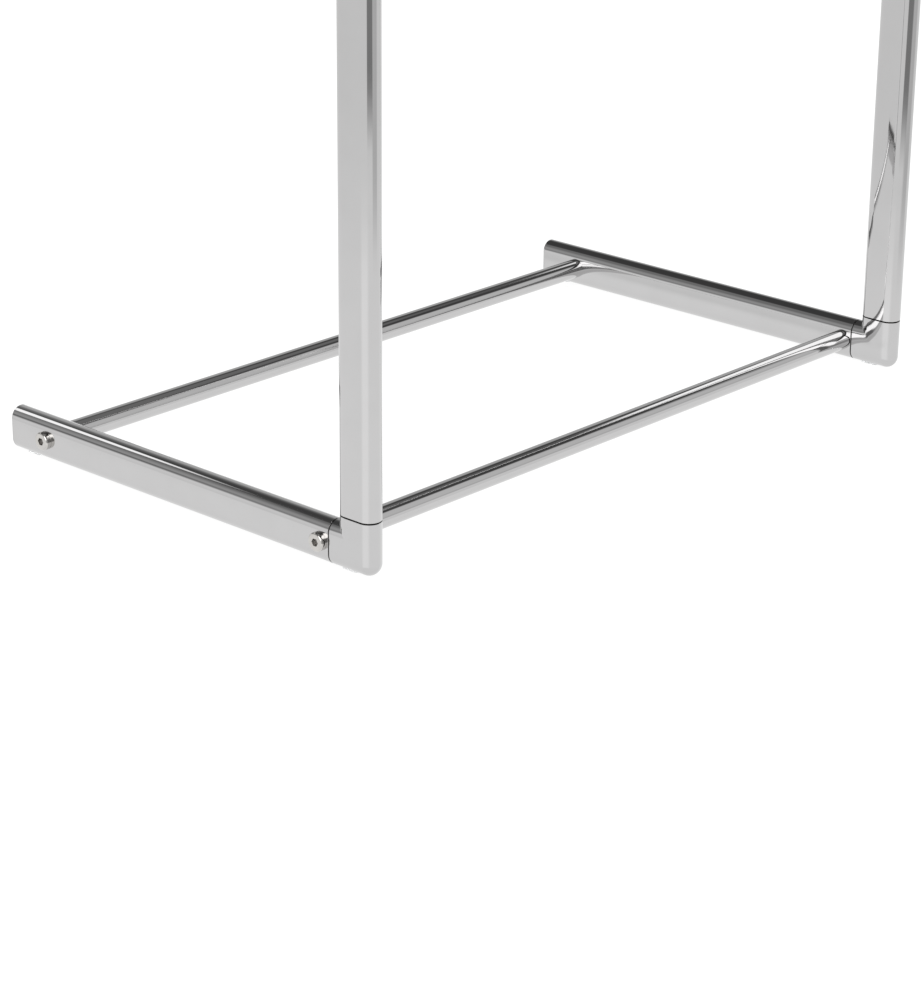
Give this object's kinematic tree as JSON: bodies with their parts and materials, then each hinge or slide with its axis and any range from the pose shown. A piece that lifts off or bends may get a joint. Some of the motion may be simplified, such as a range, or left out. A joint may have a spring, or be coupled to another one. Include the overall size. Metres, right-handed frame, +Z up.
{
  "type": "valet stand",
  "caption": "Free-standing chromed valet stand: C-shaped side frames of flat-oval tube, round shoe and trouser bars, and a contoured wooden jacket hanger on top.",
  "frame": {"origin": "middle of the base footprint, on the floor", "axes": "+X across the stand from the left side frame to the right one, +Y along the base rails from the uprights to the free ends, +Z up"},
  "size_m": [0.4786, 0.282, 1.0734],
  "materials": {
    "chrome_tube": "bright chrome plating on polished steel tube",
    "chrome_casting": "bright chrome plating on a zinc die casting",
    "chrome_plug": "chrome-plated moulded plug, slightly softer gloss",
    "nickel_screw": "nickel-plated steel, fine turned marks",
    "black_steel": "black oxide steel",
    "zinc_insert": "zinc-plated steel, satin",
    "brass_insert": "turned brass",
    "clear_glide": "translucent soft plastic",
    "stained_wood": "dark stained beech under satin lacquer"
  },
  "bodies": {
    "root": {"side_rail_left": "chrome_tube", "side_rail_right": "chrome_tube", "lower_elbow_left": "chrome_casting", "lower_elbow_right": "chrome_casting", "upright_left": "chrome_tube", "upright_right": "chrome_tube", "upper_elbow_left": "chrome_casting", "upper_elbow_right": "chrome_casting", "top_arm_left": "chrome_tube", "top_arm_right": "chrome_tube", "rail_end_plug_left": "chrome_plug", "rail_end_plug_right": "chrome_plug", "arm_end_plug_left": "chrome_plug", "arm_end_plug_right": "chrome_plug", "shoe_bar_front": "chrome_tube", "shoe_bar_rear": "chrome_tube", "trouser_bar": "chrome_tube", "hanger_bar": "chrome_tube", "bar_end_inserts": "zinc_insert", "base_bar_screws": "nickel_screw", "top_bar_screws": "nickel_screw", "elbow_grub_screws": "black_steel", "floor_glides": "clear_glide", "hanger_post": "chrome_casting", "hanger_saddle_washer": "nickel_screw", "hanger_bolt": "nickel_screw", "hanger_threaded_insert": "brass_insert", "hanger_locating_pins": "zinc_insert", "jacket_hanger": "stained_wood"}
  },
  "joints": []
}
